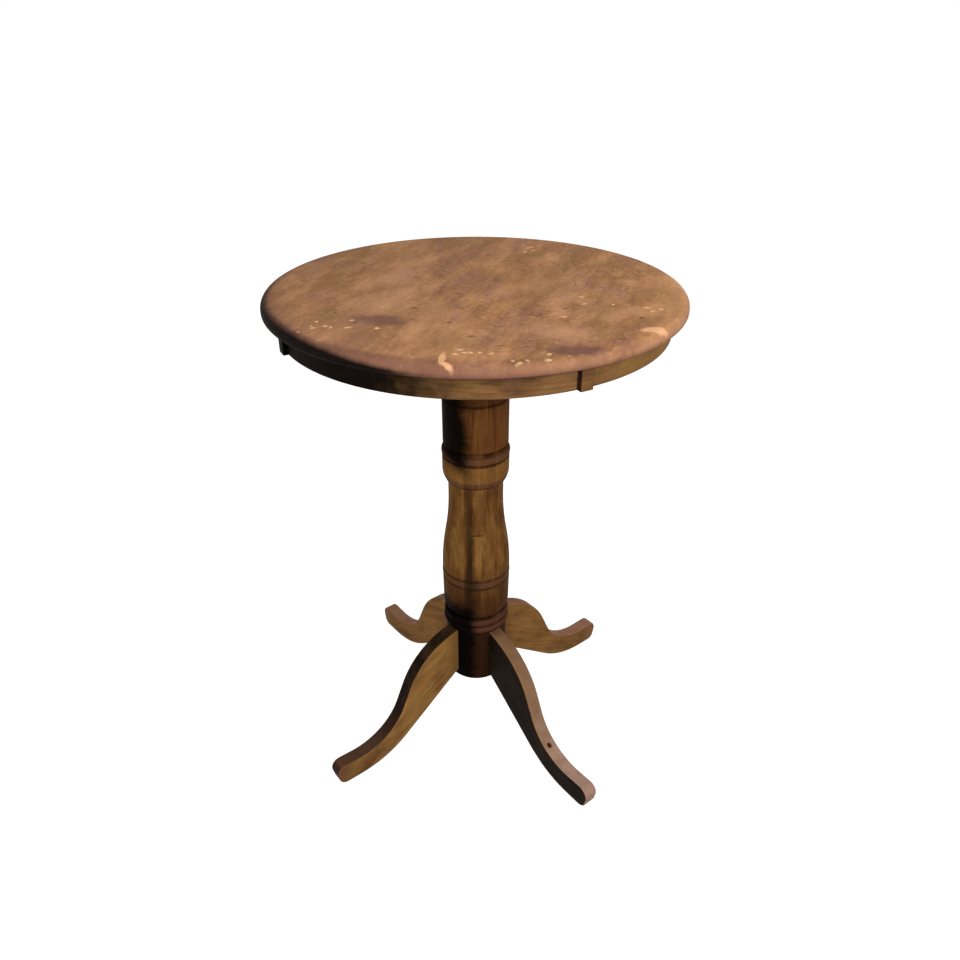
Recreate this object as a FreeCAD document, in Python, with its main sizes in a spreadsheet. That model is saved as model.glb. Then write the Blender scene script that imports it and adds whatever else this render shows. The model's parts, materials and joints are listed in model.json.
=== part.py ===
import FreeCAD, Part
import os
import Sketcher
from FreeCAD import Placement, Rotation, Vector

# Round bar-height pedestal table in stained wood, millimetres.
# Origin on the floor under the column axis, +Z up, top boards running along Y.

SIZES = [
    # top
    ("table_height", 1040),
    ("top_radius", 381),
    ("top_thickness", 22),
    ("rim_upper_share", 0.64),
    ("rim_lower_share", 0.22),
    # apron under the top
    ("apron_inset", 25),
    ("apron_thickness", 20),
    ("apron_height", 41),
    ("block_width", 22),
    ("block_proud", 8),
    ("block_inside", 6),
    ("block_drop", 1),
    ("glue_block_depth", 30),
    ("glue_block_length", 74),
    ("glue_block_height", 32),
    # hidden woodwork that holds the top
    ("batten_width", 60),
    ("batten_thickness", 20),
    ("batten_end", 27),
    ("batten_clearance", 18.5),
    ("batten_bevel", 12),
    ("batten_gap", 10),
    ("plate_size", 220),
    ("plate_thickness", 24),
    ("plate_corner", 30),
    ("plate_screw_inset", 30),
    # dowels and screws
    ("dowel_radius", 4),
    ("dowel_spacing", 20),
    ("dowel_in_apron", 22),
    ("board_dowel_length", 40),
    ("board_dowel_rim", 80),
    ("dowel_screw_gap", 1.5),
    ("riser_dowel_radius", 42),
    ("riser_dowel_length", 30),
    ("screw_radius", 2.2),
    ("screw_head_radius", 4.4),
    ("screw_head_height", 2.6),
    ("screw_bite", 12),
    # tie rod through the column
    ("rod_radius", 6),
    ("rod_clearance", 1),
    ("rod_spare", 4),
    ("washer_radius", 16),
    ("washer_thickness", 2.5),
    ("nut_radius", 10.5),
    ("nut_height", 10),
    ("recess_spare", 1.5),
    ("recess_clearance", 2),
    # turned column
    ("hub_bottom", 137),
    ("hub_height", 139.5),
    ("hub_radius", 66.8),
    ("hub_round", 6),
    ("collar_height", 37),
    ("collar_proud", 6),
    ("collar_step", 1),
    ("vase_height", 331.5),
    ("vase_base_radius", 60.5),
    ("vase_base_height", 26),
    ("vase_ledge", 2),
    ("belly_radius", 73.2),
    ("belly_taper", 1),
    ("belly_band_height", 97),
    ("belly_band_width", 14),
    ("neck_radius", 57.2),
    ("neck_height", 40),
    ("riser_radius", 66.6),
    ("cup_radius", 68.6),
    ("cup_foot_radius", 62.5),
    ("cup_height", 25),
    ("bead_height", 65),
    ("bead_width", 14),
    ("bead_proud", 1.2),
    ("cove_width", 11),
    ("groove_width", 6),
    ("riser_line_share", 0.37),
    ("riser_line_width", 4),
    ("tenon_radius", 25),
    ("tenon_length", 40),
    ("tenon_clearance", 0.2),
    # legs
    ("leg_turn", 10.7),
    ("leg_thickness", 32),
    ("leg_reach", 386),
    ("leg_top_gap", 3),
    ("toe_lean", 12),
    ("toe_height", 54),
    ("leg_edge_round", 4),
    ("toe_round", 19),
    ("knee_share", 0.415),
    ("knee_height", 171),
    ("shin_run", 18.5),
    ("shin_drop", 41.4),
    ("instep_share", 0.857),
    ("arch_share", 0.46),
    ("sole_length", 52),
    ("tongue_depth", 16),
    ("tongue_width", 20),
    ("tongue_neck", 12),
    ("tongue_height", 114),
    ("root_drop", 22),
    # steel plate under the hub and glides under the feet
    ("leg_plate_radius", 58),
    ("leg_plate_thickness", 3),
    ("leg_plate_screw_radius", 44),
    ("leg_plate_screw_length", 28),
    ("glide_radius", 11),
    ("glide_height", 3),
    ("glide_pin_radius", 1.6),
    ("glide_pin_length", 16),
    ("glide_inset", 32),
]

BOARD_COUNT = 8
QUARTERS = (0, 90, 180, 270)
SIDES = (-1, 1)
EDGE_ENDS = (1, 2)
SLACK = 1.0

doc = FreeCAD.newDocument("cocktail_table")
sheet = doc.addObject("Spreadsheet::Sheet", "sizes")
for row, (alias, value) in enumerate(SIZES, 1):
    sheet.set(f"A{row}", alias)
    sheet.set(f"B{row}", str(value))
    sheet.setAlias(f"B{row}", alias)
doc.recompute()

# heights and radii that follow from the sizes
TOP_UNDERSIDE = "(sizes.table_height - sizes.top_thickness)"
APRON_BOTTOM = f"({TOP_UNDERSIDE} - sizes.apron_height)"
APRON_OUTSIDE = "(sizes.top_radius - sizes.apron_inset)"
APRON_INSIDE = f"({APRON_OUTSIDE} - sizes.apron_thickness)"
APRON_MIDDLE = f"({APRON_OUTSIDE} - sizes.apron_thickness / 2)"
BLOCK_BOTTOM = f"({APRON_BOTTOM} - sizes.block_drop)"
DOWEL_IN_BLOCK = "(sizes.block_width / 2 - sizes.screw_radius - sizes.dowel_screw_gap)"
BOARD_WIDTH = f"(2 * sizes.top_radius / {BOARD_COUNT})"
BATTEN_OFFSET = "(sizes.plate_size / 2 + sizes.batten_gap + sizes.batten_width / 2)"
BATTEN_EDGE = f"({BATTEN_OFFSET} + sizes.batten_width / 2)"
BATTEN_HALF = f"(sqrt({APRON_INSIDE}^2 - {BATTEN_EDGE}^2) - sizes.batten_clearance)"
PLATE_BOTTOM = f"({TOP_UNDERSIDE} - sizes.plate_thickness)"
RECESS_DEPTH = "(sizes.washer_thickness + sizes.nut_height + sizes.recess_spare)"
RECESS_FLOOR = f"({TOP_UNDERSIDE} - {RECESS_DEPTH})"
HUB_TOP = "(sizes.hub_bottom + sizes.hub_height)"
VASE_BOTTOM = f"({HUB_TOP} + sizes.collar_height)"
VASE_TOP = f"({VASE_BOTTOM} + sizes.vase_height)"
HOLLOW = 0.4
GROOVE_DEPTH = f"({HOLLOW} * sizes.groove_width)"
COVE_DEPTH = f"({HOLLOW} * sizes.cove_width)"
ROD_HOLE = "(sizes.rod_radius + sizes.rod_clearance)"
MORTISE_RADIUS = "(sizes.tenon_radius + sizes.tenon_clearance)"
MORTISE_DEPTH = "(sizes.tenon_length + 10 * sizes.tenon_clearance)"
LEG_PLATE_BOTTOM = "(sizes.hub_bottom - sizes.leg_plate_thickness)"
ROD_BOTTOM = f"({LEG_PLATE_BOTTOM} - sizes.washer_thickness - sizes.nut_height - sizes.rod_spare)"
ROD_TOP = f"({RECESS_FLOOR} + sizes.washer_thickness + sizes.nut_height)"


def number(text):
    """Present value of an expression in millimetres or degrees."""
    result = sheet.evalExpression(text)
    return float(getattr(result, "Value", result))


def place(item, x="0", y="0", z="0", rotation=Rotation()):
    """Fixes the rotation and binds the position of an object to expressions."""
    item.Placement = Placement(Vector(number(x), number(y), number(z)), rotation)
    for axis, text in zip("xyz", (x, y, z)):
        item.setExpression(f"Placement.Base.{axis}", text)
    return item


def polar(radius, angle):
    """Expressions for the point at a radius and an angle about the column axis."""
    return f"{radius} * cos({angle})", f"{radius} * sin({angle})"


def solid(kind, name, **bound):
    item = doc.addObject(f"Part::{kind}", name)
    for prop, text in bound.items():
        item.setExpression(prop, text)
    return item


def group(name, items):
    item = doc.addObject("Part::Compound", name)
    item.Links = items
    return item


def cut(name, base, tools):
    """The base piece with every tool's volume taken out of it."""
    for step, tool in enumerate(tools, 1):
        label = name if step == len(tools) else f"{name}_cut_{step}"
        item = doc.addObject("Part::Cut", label)
        item.Base = base
        item.Tool = tool
        base = item
    return base


def common(name, base, tool):
    item = doc.addObject("Part::Common", name)
    item.Base = base
    item.Tool = tool
    return item


def sketch_on(body, plane, name, offset=None):
    sketch = body.newObject("Sketcher::SketchObject", name)
    support = next(item for item in body.Origin.OriginFeatures if item.Role == plane)
    sketch.AttachmentSupport = [(support, "")]
    sketch.MapMode = "FlatFace"
    if offset:
        sketch.setExpression("AttachmentOffset.Base.z", offset)
    return sketch


def arc(start, via, end):
    """Arc through three points, always drawn counter-clockwise."""
    if (via - start).cross(end - via).z < 0:
        start, end = end, start
    return Part.Arc(start, via, end)


def end_of(sketch, edge, spot):
    """Which end of the edge lies at the spot."""
    start, end = EDGE_ENDS
    return start if sketch.Geometry[edge].StartPoint.distanceToPoint(spot) < 1e-6 else end


def pin(sketch, geometry, end, x, y):
    """Binds a point of the sketch to two expressions; None leaves a direction free."""
    for kind, text, axis in (("DistanceX", x, -2), ("DistanceY", y, -1)):
        if text == "0":
            sketch.addConstraint(Sketcher.Constraint("PointOnObject", geometry, end, axis))
        elif text is not None:
            rule = Sketcher.Constraint(kind, -1, 1, geometry, end, number(text))
            sketch.setExpression(f"Constraints[{sketch.addConstraint(rule)}]", text)


def draw(sketch, corners):
    """Closed outline. A corner is (x, y), or (x, y, via x, via y) when an arc leads to it."""
    spots = [Vector(number(corner[0]), number(corner[1]), 0) for corner in corners]
    for here, corner in enumerate(corners):
        if len(corner) == 2:
            sketch.addGeometry(Part.LineSegment(spots[here - 1], spots[here]))
        else:
            via = Vector(number(corner[2]), number(corner[3]), 0)
            sketch.addGeometry(arc(spots[here - 1], via, spots[here]))
    for here, corner in enumerate(corners):
        after = (here + 1) % len(corners)
        end = end_of(sketch, here, spots[here])
        start = end_of(sketch, after, spots[here])
        sketch.addConstraint(Sketcher.Constraint("Coincident", here, end, after, start))
        pin(sketch, here, end, corner[0], corner[1])
    for here, corner in enumerate(corners):
        if len(corner) == 4:
            via = Vector(number(corner[2]), number(corner[3]), 0)
            point = sketch.addGeometry(Part.Point(via), True)
            sketch.addConstraint(Sketcher.Constraint("PointOnObject", point, 1, here))
            pin(sketch, point, 1, corner[2], corner[3])


def turned(name, corners):
    """A body turned about the column axis from its half section."""
    body = doc.addObject("PartDesign::Body", name)
    section = sketch_on(body, "XZ_Plane", f"{name}_section")
    draw(section, corners)
    spin = body.newObject("PartDesign::Revolution", f"{name}_turning")
    spin.Profile = section
    spin.ReferenceAxis = (section, ["V_Axis"])
    spin.Angle = 360
    doc.recompute()
    return body


def extruded(name, plane, corners, length, offset=None, symmetric=False):
    """A body sawn to an outline from stock of one thickness."""
    body = doc.addObject("PartDesign::Body", name)
    add_pad(body, name, plane, corners, length, offset, symmetric)
    return body


def add_pad(body, name, plane, corners, length, offset=None, symmetric=False):
    outline = sketch_on(body, plane, f"{name}_outline", offset)
    draw(outline, corners)
    pad = body.newObject("PartDesign::Pad", f"{name}_pad")
    pad.Profile = outline
    pad.setExpression("Length", length)
    if symmetric:
        pad.SideType = "Symmetric"
    doc.recompute()
    return pad


def edges_where(shape, test):
    return [f"Edge{count}" for count, edge in enumerate(shape.Edges, 1) if test(edge)]


def rectangle(x_low, x_high, y_low, y_high):
    return [(x_low, y_low), (x_high, y_low), (x_high, y_high), (x_low, y_high)]


def screws(name, spots, head_at, length):
    """Countersunk wood screws driven upward, heads flush with the height head_at."""
    items = []
    for count, (x, y) in enumerate(spots, 1):
        head = solid("Cone", f"{name}_head_{count}", Radius1="sizes.screw_head_radius",
                     Radius2="sizes.screw_radius", Height="sizes.screw_head_height")
        shank = solid("Cylinder", f"{name}_shank_{count}", Radius="sizes.screw_radius", Height=length)
        for part in (head, shank):
            place(part, x, y, head_at)
        screw = doc.addObject("Part::Fuse", f"{name}_{count}")
        screw.Base = head
        screw.Tool = shank
        items.append(screw)
    return group(name, items)


# fasteners first, because the wooden pieces are bored for them
board_joints = [f"({step} * {BOARD_WIDTH} - sizes.top_radius)" for step in range(1, BOARD_COUNT)]
block_angles = [quarter + 45 for quarter in QUARTERS]
leg_angles = [f"({quarter + 45} + sizes.leg_turn)" for quarter in QUARTERS]

dowels = []
for joint in board_joints:
    for row in (-1, 0, 1):
        dowel = solid("Cylinder", "board_dowel", Radius="sizes.dowel_radius",
                      Height="sizes.board_dowel_length")
        reach = f"(sqrt(sizes.top_radius^2 - {joint}^2) - sizes.board_dowel_rim)"
        place(dowel, f"{joint} - sizes.board_dowel_length / 2", f"{row} * {reach}",
              f"{TOP_UNDERSIDE} + sizes.top_thickness / 2", Rotation(Vector(0, 1, 0), 90))
        dowels.append(dowel)
board_dowels = group("board_dowels", dowels)

dowels = []
for angle in block_angles:
    for side in SIDES:
        for level in SIDES:
            dowel = solid("Cylinder", "apron_dowel", Radius="sizes.dowel_radius",
                          Height=f"{DOWEL_IN_BLOCK} + sizes.dowel_in_apron")
            start = f"({side} * (sizes.block_width / 2 - {DOWEL_IN_BLOCK}))"
            turn = Rotation(Vector(0, 0, 1), angle) * Rotation(Vector(1, 0, 0), -90 * side)
            place(dowel, f"{APRON_MIDDLE} * cos({angle}) - {start} * sin({angle})",
                  f"{APRON_MIDDLE} * sin({angle}) + {start} * cos({angle})",
                  f"{APRON_BOTTOM} + sizes.apron_height / 2 + {level} * sizes.dowel_spacing / 2", turn)
            dowels.append(dowel)
apron_dowels = group("apron_dowels", dowels)

dowels = []
for side in SIDES:
    dowel = solid("Cylinder", "riser_dowel", Radius="sizes.dowel_radius", Height="sizes.riser_dowel_length")
    place(dowel, f"{side} * sizes.riser_dowel_radius", "0",
          f"{PLATE_BOTTOM} - sizes.riser_dowel_length / 2")
    dowels.append(dowel)
riser_dowels = group("riser_dowels", dowels)

BATTEN_BOTTOM = f"({TOP_UNDERSIDE} - sizes.batten_thickness)"
BATTEN_SCREW_SHARES = [step / 5 for step in (-5, -3, -1, 1, 3, 5)]
batten_screws = screws(
    "batten_screws",
    [(f"{share} * ({BATTEN_HALF} - sizes.batten_end)", f"{side} * {BATTEN_OFFSET}")
     for side in SIDES for share in BATTEN_SCREW_SHARES],
    BATTEN_BOTTOM, "sizes.batten_thickness + sizes.screw_bite")
PLATE_SCREW = "(sizes.plate_size / 2 - sizes.plate_screw_inset)"
mounting_plate_screws = screws(
    "mounting_plate_screws",
    [(f"{across} * {PLATE_SCREW}", f"{along} * {PLATE_SCREW}") for across in SIDES for along in SIDES],
    PLATE_BOTTOM, "sizes.plate_thickness + sizes.screw_bite")
apron_block_screws = screws(
    "apron_block_screws", [polar(APRON_MIDDLE, angle) for angle in block_angles],
    BLOCK_BOTTOM, "sizes.apron_height + sizes.block_drop + sizes.screw_bite")
GLUE_BLOCK_BOTTOM = f"({TOP_UNDERSIDE} - sizes.glue_block_height)"
GLUE_SCREW_RADIUS = f"({APRON_INSIDE} - sizes.glue_block_depth / 2)"
glue_screw_spots = []
for side in SIDES:
    for step in SIDES:
        offset = f"{step} * sizes.glue_block_length / 4"
        glue_screw_spots.append((f"{side} * {GLUE_SCREW_RADIUS}", offset))
        glue_screw_spots.append((offset, f"{side} * {GLUE_SCREW_RADIUS}"))
glue_block_screws = screws("glue_block_screws", glue_screw_spots, GLUE_BLOCK_BOTTOM,
                           "sizes.glue_block_height + sizes.screw_bite")
leg_plate_screws = screws(
    "leg_plate_screws", [polar("sizes.leg_plate_screw_radius", f"({angle} + 45)") for angle in leg_angles],
    LEG_PLATE_BOTTOM, "sizes.leg_plate_screw_length")

tie_rod = place(solid("Cylinder", "tie_rod", Radius="sizes.rod_radius", Height=f"{ROD_TOP} - {ROD_BOTTOM}"),
                z=ROD_BOTTOM)
rod_hole = place(solid("Cylinder", "rod_hole", Radius=ROD_HOLE, Height="sizes.table_height"), z="0")
nuts = []
washers = []
for washer_at, nut_at in ((f"{LEG_PLATE_BOTTOM} - sizes.washer_thickness",
                           f"{LEG_PLATE_BOTTOM} - sizes.washer_thickness - sizes.nut_height"),
                          (RECESS_FLOOR, f"{RECESS_FLOOR} + sizes.washer_thickness")):
    disc = place(solid("Cylinder", "washer_disc", Radius="sizes.washer_radius",
                       Height="sizes.washer_thickness"), z=washer_at)
    hexagon = place(solid("Prism", "nut_hexagon", Circumradius="sizes.nut_radius",
                          Height="sizes.nut_height"), z=nut_at)
    hexagon.Polygon = 6
    washers.append(cut("washer", disc, [tie_rod]))
    nuts.append(cut("nut", hexagon, [tie_rod]))
rod_washers = group("rod_washers", washers)
rod_nuts = group("rod_nuts", nuts)

# round top, glued up from boards
RIM_UPPER = "(sizes.rim_upper_share * sizes.top_thickness)"
RIM_LOWER = "(sizes.rim_lower_share * sizes.top_thickness)"
ROUND = 0.2929
top_blank = turned("top_blank", [
    ("0", TOP_UNDERSIDE),
    (f"sizes.top_radius - {RIM_LOWER}", TOP_UNDERSIDE),
    ("sizes.top_radius", f"{TOP_UNDERSIDE} + {RIM_LOWER}",
     f"sizes.top_radius - {ROUND} * {RIM_LOWER}", f"{TOP_UNDERSIDE} + {ROUND} * {RIM_LOWER}"),
    ("sizes.top_radius", f"sizes.table_height - {RIM_UPPER}"),
    (f"sizes.top_radius - {RIM_UPPER}", "sizes.table_height",
     f"sizes.top_radius - {ROUND} * {RIM_UPPER}", f"sizes.table_height - {ROUND} * {RIM_UPPER}"),
    ("0", "sizes.table_height"),
])
top_bores = [board_dowels, batten_screws, mounting_plate_screws, apron_block_screws, glue_block_screws]
boards = []
for count in range(BOARD_COUNT):
    strip = solid("Box", f"board_strip_{count + 1}", Length=BOARD_WIDTH, Width="2 * sizes.top_radius",
                  Height="sizes.top_thickness")
    place(strip, f"{count} * {BOARD_WIDTH} - sizes.top_radius", "-sizes.top_radius", TOP_UNDERSIDE)
    board = common(f"board_blank_{count + 1}", top_blank, strip)
    boards.append(cut(f"top_board_{count + 1}", board, top_bores))

# apron: four curved segments butted and dowelled to four square blocks
blocks = []
for angle, name in zip(block_angles, ("rear_right", "rear_left", "front_left", "front_right")):
    blank = extruded(f"block_blank_{name}", "XY_Plane",
                     rectangle(f"{APRON_INSIDE} - sizes.block_inside", f"{APRON_OUTSIDE} + sizes.block_proud",
                               "-sizes.block_width / 2", "sizes.block_width / 2"),
                     "sizes.apron_height + sizes.block_drop")
    place(blank, z=BLOCK_BOTTOM, rotation=Rotation(Vector(0, 0, 1), angle))
    blocks.append((name, blank))
block_blanks = group("block_blanks", [blank for name, blank in blocks])
apron_blocks = [cut(f"apron_block_{name}", blank, [apron_dowels, apron_block_screws])
                for name, blank in blocks]

apron_segments = []
hollow = place(solid("Cylinder", "apron_hollow", Radius=APRON_INSIDE, Height="sizes.table_height"), z="0")
for angle, name in zip(block_angles, ("rear", "left", "front", "right")):
    sector = solid("Cylinder", f"apron_sector_{name}", Radius=APRON_OUTSIDE, Height="sizes.apron_height")
    sector.Angle = 90
    place(sector, z=APRON_BOTTOM, rotation=Rotation(Vector(0, 0, 1), angle))
    apron_segments.append(cut(f"apron_segment_{name}", sector, [hollow, block_blanks, apron_dowels]))

apron_core = place(solid("Cylinder", "apron_core", Radius=APRON_INSIDE, Height="sizes.table_height"), z="0")
glue_blocks = []
for angle, name in zip(QUARTERS, ("right", "rear", "left", "front")):
    blank = extruded(f"glue_block_blank_{name}", "XY_Plane",
                     rectangle(f"{APRON_INSIDE} - sizes.glue_block_depth", APRON_INSIDE,
                               "-sizes.glue_block_length / 2", "sizes.glue_block_length / 2"),
                     "sizes.glue_block_height")
    place(blank, z=GLUE_BLOCK_BOTTOM, rotation=Rotation(Vector(0, 0, 1), angle))
    scribed = common(f"glue_block_scribed_{name}", blank, apron_core)
    glue_blocks.append(cut(f"glue_block_{name}", scribed, [glue_block_screws]))

# battens across the boards and the plate that takes the column
battens = []
for side, name in zip(SIDES, ("front", "rear")):
    blank = extruded(f"batten_blank_{name}", "XZ_Plane", [
        (f"-({BATTEN_HALF} - sizes.batten_bevel)", BATTEN_BOTTOM),
        (f"{BATTEN_HALF} - sizes.batten_bevel", BATTEN_BOTTOM),
        (BATTEN_HALF, f"{BATTEN_BOTTOM} + sizes.batten_bevel"),
        (BATTEN_HALF, TOP_UNDERSIDE),
        (f"-{BATTEN_HALF}", TOP_UNDERSIDE),
        (f"-{BATTEN_HALF}", f"{BATTEN_BOTTOM} + sizes.batten_bevel"),
    ], "sizes.batten_width", symmetric=True)
    place(blank, y=f"{side} * {BATTEN_OFFSET}")
    battens.append(cut(f"top_batten_{name}", blank, [batten_screws]))

PLATE_HALF = "sizes.plate_size / 2"
PLATE_FLAT = "(sizes.plate_size / 2 - sizes.plate_corner)"
plate_blank = extruded("mounting_plate_blank", "XY_Plane", [
    (f"-{PLATE_FLAT}", f"-{PLATE_HALF}"), (PLATE_FLAT, f"-{PLATE_HALF}"),
    (PLATE_HALF, f"-{PLATE_FLAT}"), (PLATE_HALF, PLATE_FLAT),
    (PLATE_FLAT, PLATE_HALF), (f"-{PLATE_FLAT}", PLATE_HALF),
    (f"-{PLATE_HALF}", PLATE_FLAT), (f"-{PLATE_HALF}", f"-{PLATE_FLAT}"),
], "sizes.plate_thickness")
place(plate_blank, z=PLATE_BOTTOM)
recess = place(solid("Cylinder", "nut_recess", Radius="sizes.washer_radius + sizes.recess_clearance",
                     Height=RECESS_DEPTH), z=RECESS_FLOOR)
mounting_plate = cut("mounting_plate", plate_blank, [rod_hole, recess, mounting_plate_screws, riser_dowels])

# turned riser with a cup foot and a bead
BEAD_LOW = f"({VASE_TOP} + sizes.bead_height - sizes.bead_width / 2)"
BEAD_HIGH = f"({VASE_TOP} + sizes.bead_height + sizes.bead_width / 2)"
COVE_HIGH = f"({BEAD_HIGH} + sizes.cove_width)"
RISER_LINE = f"({COVE_HIGH} + sizes.riser_line_share * ({PLATE_BOTTOM} - {COVE_HIGH}))"
riser_blank = turned("riser_blank", [
    (MORTISE_RADIUS, VASE_TOP),
    ("sizes.cup_foot_radius", VASE_TOP),
    ("sizes.cup_radius", f"{VASE_TOP} + sizes.cup_height",
     "sizes.cup_radius - 0.2 * (sizes.cup_radius - sizes.cup_foot_radius)",
     f"{VASE_TOP} + sizes.cup_height / 2"),
    ("sizes.cup_radius", f"{BEAD_LOW} - sizes.groove_width"),
    ("sizes.cup_radius", BEAD_LOW,
     f"sizes.cup_radius - {GROOVE_DEPTH}", f"{BEAD_LOW} - sizes.groove_width / 2"),
    ("sizes.riser_radius", BEAD_HIGH,
     "sizes.cup_radius + sizes.bead_proud", f"{VASE_TOP} + sizes.bead_height"),
    ("sizes.riser_radius", COVE_HIGH,
     f"sizes.riser_radius - {COVE_DEPTH}", f"{BEAD_HIGH} + sizes.cove_width / 2"),
    ("sizes.riser_radius", f"{RISER_LINE} - sizes.riser_line_width / 2"),
    ("sizes.riser_radius", f"{RISER_LINE} + sizes.riser_line_width / 2",
     f"sizes.riser_radius - {HOLLOW} * sizes.riser_line_width", RISER_LINE),
    ("sizes.riser_radius", PLATE_BOTTOM),
    (ROD_HOLE, PLATE_BOTTOM),
    (ROD_HOLE, f"{VASE_TOP} + {MORTISE_DEPTH}"),
    (MORTISE_RADIUS, f"{VASE_TOP} + {MORTISE_DEPTH}"),
])
riser = cut("riser", riser_blank, [riser_dowels])

# turned vase with a tenon at each end
BAND_LOW = f"({VASE_BOTTOM} + sizes.belly_band_height - sizes.belly_band_width / 2)"
BAND_HIGH = f"({VASE_BOTTOM} + sizes.belly_band_height + sizes.belly_band_width / 2)"
SHOULDER_LOW = f"({BAND_HIGH} + sizes.groove_width)"
NECK_LOW = f"({VASE_TOP} - sizes.neck_height)"
SHOULDER_MIDDLE = f"(({SHOULDER_LOW} + {NECK_LOW}) / 2)"
SHOULDER_RADIUS = "((sizes.belly_radius + sizes.neck_radius) / 2)"
turned_vase = turned("turned_vase", [
    (ROD_HOLE, f"{VASE_BOTTOM} - sizes.tenon_length"),
    ("sizes.tenon_radius", f"{VASE_BOTTOM} - sizes.tenon_length"),
    ("sizes.tenon_radius", VASE_BOTTOM),
    ("sizes.vase_base_radius", VASE_BOTTOM),
    ("sizes.belly_radius - sizes.belly_taper", f"{VASE_BOTTOM} + sizes.vase_base_height",
     "sizes.belly_radius - sizes.belly_taper - 0.25 * (sizes.belly_radius - sizes.vase_base_radius)",
     f"{VASE_BOTTOM} + 0.4 * sizes.vase_base_height"),
    ("sizes.belly_radius", f"{BAND_LOW} - sizes.groove_width"),
    ("sizes.belly_radius", BAND_LOW,
     f"sizes.belly_radius - {GROOVE_DEPTH}", f"{BAND_LOW} - sizes.groove_width / 2"),
    ("sizes.belly_radius", BAND_HIGH,
     "sizes.belly_radius + sizes.bead_proud / 2", f"{VASE_BOTTOM} + sizes.belly_band_height"),
    ("sizes.belly_radius", SHOULDER_LOW,
     f"sizes.belly_radius - {GROOVE_DEPTH}", f"{BAND_HIGH} + sizes.groove_width / 2"),
    (SHOULDER_RADIUS, SHOULDER_MIDDLE,
     f"sizes.belly_radius - (sizes.belly_radius - {SHOULDER_RADIUS}) / 4",
     f"({SHOULDER_LOW} + {SHOULDER_MIDDLE}) / 2"),
    ("sizes.neck_radius", NECK_LOW,
     f"sizes.neck_radius + ({SHOULDER_RADIUS} - sizes.neck_radius) / 4",
     f"({SHOULDER_MIDDLE} + {NECK_LOW}) / 2"),
    ("sizes.neck_radius", VASE_TOP),
    ("sizes.tenon_radius", VASE_TOP),
    ("sizes.tenon_radius", f"{VASE_TOP} + sizes.tenon_length"),
    (ROD_HOLE, f"{VASE_TOP} + sizes.tenon_length"),
])

# hub with a double-bead collar and four dovetail housings for the legs
hub_blank = turned("hub_blank", [
    (ROD_HOLE, "sizes.hub_bottom"),
    ("sizes.hub_radius - sizes.hub_round", "sizes.hub_bottom"),
    ("sizes.hub_radius", "sizes.hub_bottom + sizes.hub_round",
     f"sizes.hub_radius - {ROUND} * sizes.hub_round", f"sizes.hub_bottom + {ROUND} * sizes.hub_round"),
    ("sizes.hub_radius", HUB_TOP),
    ("sizes.hub_radius", f"{HUB_TOP} + sizes.collar_height / 2",
     "sizes.hub_radius + sizes.collar_proud", f"{HUB_TOP} + sizes.collar_height / 4"),
    ("sizes.vase_base_radius + sizes.vase_ledge", VASE_BOTTOM,
     "sizes.hub_radius + sizes.collar_proud - sizes.collar_step", f"{HUB_TOP} + 0.72 * sizes.collar_height"),
    (MORTISE_RADIUS, VASE_BOTTOM),
    (MORTISE_RADIUS, f"{VASE_BOTTOM} - {MORTISE_DEPTH}"),
    (ROD_HOLE, f"{VASE_BOTTOM} - {MORTISE_DEPTH}"),
])


def tongue_corners(inner, outer):
    """Dovetail section between two distances inside the hub's surface."""
    spread = "(sizes.tongue_width - sizes.tongue_neck) / 2 / sizes.tongue_depth"
    wide = f"(sizes.tongue_neck / 2 + {inner} * {spread})"
    narrow = f"(sizes.tongue_neck / 2 + {outer} * {spread})"
    near = f"sizes.hub_radius - {inner}"
    far = f"sizes.hub_radius - {outer}"
    return [(near, f"-{wide}"), (far, f"-{narrow}"), (far, narrow), (near, wide)]


WEB = "(sizes.tongue_depth / 4)"
tongues = []
for angle, quarter in zip(leg_angles, QUARTERS):
    housing = extruded(f"leg_housing_{quarter}", "XY_Plane", tongue_corners("sizes.tongue_depth", f"(-{WEB})"),
                       "sizes.tongue_height")
    place(housing, z="sizes.hub_bottom")
    housing.setExpression("Placement.Rotation.Angle", angle)
    tongues.append(housing)
leg_hub = cut("leg_hub", hub_blank, [group("leg_housings", tongues), leg_plate_screws])

leg_plate_disc = place(solid("Cylinder", "leg_plate_disc", Radius="sizes.leg_plate_radius",
                             Height="sizes.leg_plate_thickness"), z=LEG_PLATE_BOTTOM)
leg_plate = cut("leg_plate", leg_plate_disc, [rod_hole, leg_plate_screws])

# sawn legs with a rounded edge, a dovetail tongue and a glide
ROOT = "(sizes.hub_radius - sizes.tongue_depth / 2)"
ROOT_LOW = "(sizes.hub_bottom + sizes.root_drop)"
SOLE_START = "(sizes.leg_reach - sizes.sole_length)"
LEG_SPAN = "(sizes.leg_reach - sizes.hub_radius)"
KNEE = f"(sizes.hub_radius + sizes.knee_share * {LEG_SPAN})"
INSTEP = f"(sizes.hub_radius + sizes.instep_share * {LEG_SPAN})"
ARCH = f"(sizes.hub_radius + sizes.arch_share * {LEG_SPAN})"
TOE_TOP = "(sizes.glide_height + sizes.toe_height)"
LEG_OUTLINE = [
    # x, y, bulge of the edge that leads here (0 for a straight one), smooth with the next edge
    (ROOT, f"{HUB_TOP} - sizes.leg_top_gap", 0, False),
    (KNEE, "sizes.knee_height", 0.10, True),
    (f"{KNEE} + sizes.shin_run", "sizes.knee_height - sizes.shin_drop", 0, True),
    (INSTEP, None, -0.14, True),
    ("sizes.leg_reach + sizes.toe_lean", TOE_TOP, 0, False),
    ("sizes.leg_reach", "sizes.glide_height", 0, False),
    (SOLE_START, "sizes.glide_height", 0, True),
    (ARCH, None, 0.10, True),
    (ROOT, ROOT_LOW, 0, False),
]


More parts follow.
